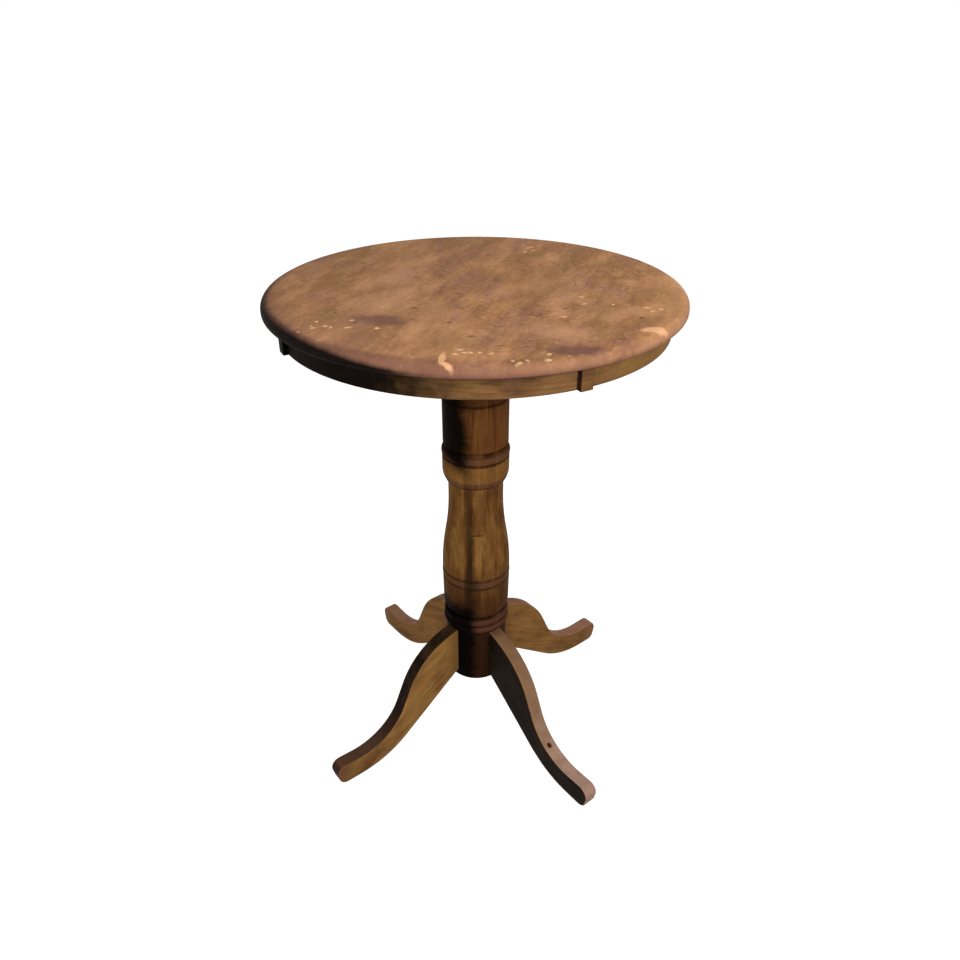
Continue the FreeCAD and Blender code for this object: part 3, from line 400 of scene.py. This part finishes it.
def column_material():
    graph = Graph("column_wood_worn", Specular_IOR_Level=0.008)
    z = graph.axes(graph.place)[2]
    right = graph.dot(graph.place, from_view(1, 0, 0))
    away = graph.dot(graph.place, from_view(0, 1, 0))

    def upright(stretch):
        return graph.join(right, away, graph.times(z, stretch))

    # staves glued side by side
    wander = graph.noise(upright(0.15), 60.0, 2.0)
    shifted = graph.sum(right, graph.swing(wander, 0.007))
    share = graph.math("DIVIDE", graph.sum(shifted, COLUMN_SPAN / 2), COLUMN_SPAN)
    stops = [((start / 1000 + COLUMN_SPAN / 2) / COLUMN_SPAN, (tone, tone, tone, 1.0))
             for start, tone in STAVES]
    blurred = stops[:1]
    for (_, before), (place, after) in zip(stops, stops[1:]):
        blurred += [(place - STAVE_BLUR, before), (place + STAVE_BLUR, after)]
    stave = graph.axes(graph.ramp(share, stops, "CONSTANT"))[0]
    tone = graph.axes(graph.ramp(share, blurred))[0]
    tones = (srgb(136, 94, 48), srgb(102, 67, 33), srgb(48, 26, 11), srgb(98, 76, 37))
    color, relief, _ = stained_wood(graph, z, right, away, tones, 24.0, graph.times(stave, 5.0), 0.9, 0.30)
    color = graph.tint(color, graph.rise(tone, 0.5, 0.1), 0.75, srgb(46, 26, 11))
    color = graph.tint(color, graph.rise(tone, 0.6, 0.9), 0.40, srgb(128, 90, 46))
    curl = graph.noise(upright(1.6), 120.0, 2.0, 0.5, 1.2)
    curly = graph.times(graph.rise(curl, 0.53, 0.64), graph.rise(tone, 0.50, 0.42), graph.rise(z, 0.525, 0.550))
    color = graph.tint(color, curly, 0.5, srgb(46, 26, 13))

    # lengths of the column: riser, cup, lower barrel, reddish bands, hub
    dirty = graph.noise(graph.place, 22.0, 4.0, 0.65)
    uneven = graph.sum(dirty, -0.5)
    edge = graph.sum(right, graph.times(uneven, 0.045))
    ragged = graph.swing(graph.noise(graph.place, 90.0, 3.0), 3.0)
    millimetres = graph.times(z, 1000.0)
    riser = graph.rise(z, 0.697, 0.735)
    color = graph.tint(color, riser, 0.60, srgb(86, 48, 22))
    lines = graph.noise(upright(0.05), 260.0, 2.0)
    color = graph.tint(color, graph.times(graph.rise(lines, 0.53, 0.66), riser), 0.45, srgb(40, 20, 9))
    cup = graph.times(graph.rise(z, 0.657, 0.664), graph.rise(z, 0.700, 0.694))
    color = graph.tint(color, cup, 0.30, srgb(132, 92, 48))
    lower = graph.rise(graph.sum(z, graph.times(uneven, 0.10)), 0.470, 0.330)
    color = graph.tint(color, lower, 0.80, srgb(56, 30, 15))
    height = graph.sum(millimetres, ragged)
    bands = any_of(graph, [graph.times(graph.rise(height, low - 1, low + 2),
                                       graph.rise(height, high + 1, high - 2)) for low, high in RED_BANDS])
    color = graph.tint(color, bands, 0.50, srgb(80, 50, 40))
    color = graph.tint(color, graph.rise(z, 0.282, 0.274), 0.85, srgb(34, 18, 9))
    # darker in the grooves of the turned rings
    settled = graph.sum(millimetres, graph.times(ragged, 0.5))
    groove_darkening = any_of(graph, [graph.rise(graph.gap(settled, level), half * 1.7, half * 0.2)
                           for level, half in GROOVES])
    color = graph.tint(color, graph.times(groove_darkening, graph.rise(dirty, 0.30, 0.55)), 0.80, srgb(18, 9, 6))

    # the dark stave on the vase, and the short stave that ends beside it
    width = graph.sum(0.010, graph.times(graph.rise(z, 0.480, 0.400), 0.012))
    middle = graph.math("DIVIDE", graph.gap(shifted, -0.012), width)
    shade = graph.times(graph.rise(middle, 1.2, 0.1), graph.rise(z, 0.650, 0.500), graph.rise(z, 0.300, 0.340))
    color = graph.tint(color, shade, 0.75, srgb(30, 18, 10))
    short = graph.times(graph.rise(graph.gap(right, 0.006), 0.0075, 0.0045),
                        graph.rise(z, 0.430, 0.470), graph.rise(z, 0.533, 0.531))
    color = graph.tint(color, short, 0.45, srgb(134, 96, 48))
    butt = graph.times(graph.rise(graph.gap(right, 0.004), 0.012, 0.010),
                       graph.rise(graph.gap(z, 0.534), 0.0022, 0.0008))
    color = graph.tint(color, butt, 0.65, srgb(36, 20, 10))

    # painted shade under the apron, and painted shade, near black, on the left of the riser and above the hub
    neck = graph.rise(graph.sum(z, graph.times(uneven, 0.02)), 0.815, 0.835)
    color = graph.tint(color, neck, 0.50, srgb(38, 21, 11))
    riser_left_shade = graph.times(graph.rise(edge, -0.002, -0.032),
                        graph.rise(graph.sum(z, graph.times(edge, 0.6)), 0.640, 0.690))
    foot = graph.times(graph.rise(edge, 0.012, -0.016),
                       graph.rise(graph.sum(z, graph.times(uneven, 0.05)), 0.375, 0.335),
                       graph.rise(away, 0.03, -0.01))
    color = graph.tint(color, graph.math("MAXIMUM", riser_left_shade, foot), PAINTED_SHADE_COVER, PAINTED_SHADE_BLACK)
    roughness = graph.sum(0.44, graph.times(dirty, 0.22))
    return graph.surface(color, roughness, relief, 0.0005)


LEG_GRAIN_SLOPE = math.radians(-30)


def leg_material(name, angle, edge_tone, toe_tone, edge_amount, left_shade_amount, shade, knot):
    graph = Graph(f"leg_wood_worn_{name}", Specular_IOR_Level=0.02)
    turn = math.radians(angle)
    sideways = (-math.sin(turn), math.cos(turn), 0.0)
    out = graph.dot(graph.place, (math.cos(turn), math.sin(turn), 0.0))
    side = graph.dot(graph.place, sideways)
    z = graph.axes(graph.place)[2]
    cos, sin = math.cos(LEG_GRAIN_SLOPE), math.sin(LEG_GRAIN_SLOPE)
    along = graph.sum(graph.times(out, cos), graph.times(z, sin))
    across = graph.sum(graph.times(out, -sin), graph.times(z, cos))
    tones = (srgb(158, 114, 62), srgb(134, 96, 52), srgb(86, 55, 27), srgb(126, 97, 50))
    color, relief, _ = stained_wood(graph, along, across, side, tones, 20.0, angle / 50, 0.80, 0.20)
    color = graph.mix(shade, color, srgb(88, 55, 26))
    cloud = graph.noise(graph.place, 16.0, 4.0, 0.6)
    uneven = graph.sum(cloud, -0.5)
    color = graph.tint(color, graph.rise(cloud, 0.52, 0.66), 0.35, srgb(98, 64, 38))

    def reach(unevenness, low, high):
        return graph.rise(graph.sum(out, graph.times(uneven, unevenness)), low, high)

    color = graph.tint(color, reach(0.08, 0.24, 0.38), 0.38, srgb(66, 42, 22))
    # top edge in its own tone from the column to the toe: painted shade on the front-left leg, painted light on
    # the front-right leg
    facing = graph.math("ABSOLUTE", graph.dot(graph.normal, sideways))
    edge = graph.rise(graph.sum(facing, graph.times(uneven, 0.6)), 0.80, 0.45)
    speckle = graph.noise(graph.place, 30.0, 3.0, 0.55)
    worn = graph.mix(reach(0.15, 0.16, 0.33), edge_tone, toe_tone)
    edge_color = graph.tint(worn, graph.rise(speckle, 0.42, 0.66), 0.32, srgb(84, 60, 40))
    color = graph.tint(color, edge, edge_amount, edge_color)
    # darker toe and root, and painted shade, near black, on the faces turned to the left
    color = graph.tint(color, reach(0.05, 0.340, 0.386), 0.50, graph.mix(0.5, toe_tone, srgb(110, 70, 48)))
    color = graph.tint(color, reach(0.05, 0.100, 0.066), 0.45, srgb(54, 33, 18))
    left = graph.rise(graph.dot(graph.normal, from_view(1, 0, 0)), -0.20, -0.60)
    left_shade_tone = graph.mix(graph.rise(speckle, 0.45, 0.70), srgb(4, 3, 3), srgb(19, 13, 10))
    color = graph.tint(color, left, left_shade_amount, left_shade_tone)
    if knot:
        centre = (knot[0] / 1000, knot[1] / 1000, 0.0)
        spot = graph.vector("DISTANCE", graph.join(out, side, 0.0), centre, "Value")
        hole = graph.rise(graph.sum(spot, graph.times(uneven, 0.006)), 0.0055, 0.0025)
        color = graph.mix(hole, color, srgb(48, 22, 14))
    roughness = graph.sum(0.44, graph.times(cloud, 0.22))
    return graph.surface(color, roughness, relief, 0.0005)


def plain_material():
    graph = Graph("plain_wood_sanded", Specular_IOR_Level=0.2)
    x, y, z = graph.axes(graph.place)
    tones = (srgb(186, 150, 104), srgb(164, 128, 86), srgb(124, 92, 60), srgb(150, 120, 80))
    color, relief, streak = stained_wood(graph, x, y, z, tones, 16.0, 8.4)
    return graph.surface(color, graph.sum(0.6, graph.times(streak, 0.2)), relief, 0.0004)


def steel_material():
    graph = Graph("zinc_plated_steel", Metallic=1.0)
    _, kind = graph.cells(graph.place, 420.0)
    brushed = graph.noise(graph.vector("MULTIPLY", graph.place, (1.0, 1.0, 0.2)), 900.0, 2.0)
    color = graph.mix(graph.axes(kind)[1], srgb(168, 168, 164), srgb(192, 190, 182))
    stain = graph.rise(graph.noise(graph.place, 45.0, 4.0), 0.55, 0.75)
    color = graph.tint(color, stain, 0.5, srgb(118, 104, 86))
    return graph.surface(color, graph.sum(0.3, graph.times(brushed, 0.2)), brushed, 0.0001)


def nylon_material():
    graph = Graph("foot_nylon", Specular_IOR_Level=0.3)
    scuff = graph.noise(graph.place, 260.0, 4.0, 0.7)
    color = graph.mix(graph.rise(scuff, 0.45, 0.70), srgb(38, 32, 28), srgb(74, 64, 56))
    return graph.surface(color, graph.sum(0.5, graph.times(scuff, 0.3)), scuff, 0.0002)


def dress(name, material):
    for index in range(len(nodes[name].material_slots)):
        nodes[name].material_slots[index].material = material


SLOT_MATERIALS = {
    "top_wood": top_material(), "apron_wood": apron_material(), "column_wood": column_material(),
    "plain_wood": plain_material(), "zinc_steel": steel_material(), "nylon": nylon_material(),
}
LEG_LOOKS = {
    # tone of the top edge by the column and at the toe (painted shade on the front left, painted light on the
    # front right), how far it covers, painted shade on the left faces, shade, knot on the edge
    "front_left": (srgb(18, 11, 8), srgb(66, 45, 37), 0.95, 0.60, 0.0, None),
    "front_right": (srgb(118, 90, 66), srgb(160, 129, 113), 0.88, 0.97, 0.0, (262, -2)),
    "rear_left": (srgb(142, 100, 78), srgb(166, 121, 100), 0.70, 0.0, 0.18, None),
    "rear_right": (srgb(146, 106, 84), srgb(158, 116, 95), 0.72, 0.0, 0.24, None),
}
for piece in frame["record"]["subparts"]:
    if piece["material_slot"] in SLOT_MATERIALS:
        dress(piece["node"], SLOT_MATERIALS[piece["material_slot"]])
for name, look in LEG_LOOKS.items():
    dress(f"leg_{name}", leg_material(name, LEG_ANGLES[name], *look))

# floor, light and camera
FLOOR_GREY = 0.42
FLOOR_GLOW = 0.86
AMBIENT = 0.36
CAMERA_LENS = 29.81
CAMERA_PITCH = math.radians(30.39)      # downward
CAMERA_PAN = math.radians(0.35)         # to the right of the axis

bpy.ops.mesh.primitive_plane_add(size=60, location=(0, 0, 0))
floor = bpy.context.object
floor.name = "studio_floor"


def shown_background(tree):
    """1 for rays that show the background, directly or in metal and glass; 0 for the light it gives."""
    path = tree.nodes.new("ShaderNodeLightPath")
    shown = path.outputs["Is Camera Ray"]
    for kind in ("Is Glossy Ray", "Is Transmission Ray"):
        either = tree.nodes.new("ShaderNodeMath")
        either.operation = "MAXIMUM"
        tree.links.new(shown, either.inputs[0])
        tree.links.new(path.outputs[kind], either.inputs[1])
        shown = either.outputs[0]
    return shown


def floor_material():
    """Pale floor that reads as white to the camera and still takes the table's shadow."""
    material = bpy.data.materials.new("studio_floor_white")
    material.use_nodes = True
    tree = material.node_tree
    tree.nodes.clear()
    output = tree.nodes.new("ShaderNodeOutputMaterial")
    paint = tree.nodes.new("ShaderNodeBsdfDiffuse")
    paint.inputs["Color"].default_value = (FLOOR_GREY, FLOOR_GREY, FLOOR_GREY, 1)
    glow = tree.nodes.new("ShaderNodeEmission")
    level = tree.nodes.new("ShaderNodeMath")
    level.operation = "MULTIPLY"
    level.inputs[1].default_value = FLOOR_GLOW
    both = tree.nodes.new("ShaderNodeAddShader")
    tree.links.new(shown_background(tree), level.inputs[0])
    tree.links.new(level.outputs[0], glow.inputs["Strength"])
    tree.links.new(paint.outputs[0], both.inputs[0])
    tree.links.new(glow.outputs[0], both.inputs[1])
    tree.links.new(both.outputs[0], output.inputs["Surface"])
    return material


floor.data.materials.append(floor_material())

world = bpy.data.worlds.new("studio_world")
bpy.context.scene.world = world
world.use_nodes = True
tree = world.node_tree
tree.nodes.clear()
ambient = tree.nodes.new("ShaderNodeBackground")
ambient.inputs["Color"].default_value = (1, 1, 1, 1)
ambient.inputs["Strength"].default_value = AMBIENT
backdrop = tree.nodes.new("ShaderNodeBackground")
backdrop.inputs["Color"].default_value = (1, 1, 1, 1)
backdrop.inputs["Strength"].default_value = 1.0
choice = tree.nodes.new("ShaderNodeMixShader")
output = tree.nodes.new("ShaderNodeOutputWorld")
tree.links.new(shown_background(tree), choice.inputs[0])
tree.links.new(ambient.outputs[0], choice.inputs[1])
tree.links.new(backdrop.outputs[0], choice.inputs[2])
tree.links.new(choice.outputs[0], output.inputs["Surface"])


def softbox(name, place, target, size, energy):
    lamp = bpy.data.lights.new(name, "AREA")
    lamp.shape = "SQUARE"
    lamp.size = size
    lamp.energy = energy
    holder = bpy.data.objects.new(name, lamp)
    holder.location = place
    holder.rotation_euler = (target - place).to_track_quat("-Z", "Y").to_euler()
    bpy.context.scene.collection.objects.link(holder)


softbox("key_light", from_view(1.7, -2.3, 1.9), Vector((0, 0, 0.55)), 1.6, 74)
softbox("fill_light", from_view(-2.0, -2.2, 1.5), Vector((0, 0, 0.5)), 1.8, 52)
softbox("top_light", from_view(0.5, 0.2, 3.0), Vector((0, 0, 1.0)), 1.8, 23)

camera = bpy.data.cameras.new("photo_camera")
camera.sensor_width = 36
camera.lens = CAMERA_LENS
camera.clip_end = 200
viewer = bpy.data.objects.new("photo_camera", camera)
viewer.location = from_view(0, -1.42, 1.465)
viewer.rotation_euler = (math.pi / 2 - CAMERA_PITCH, 0, VIEW_TURN - CAMERA_PAN)
bpy.context.scene.collection.objects.link(viewer)
bpy.context.scene.camera = viewer
bpy.context.scene.view_settings.view_transform = "Standard"
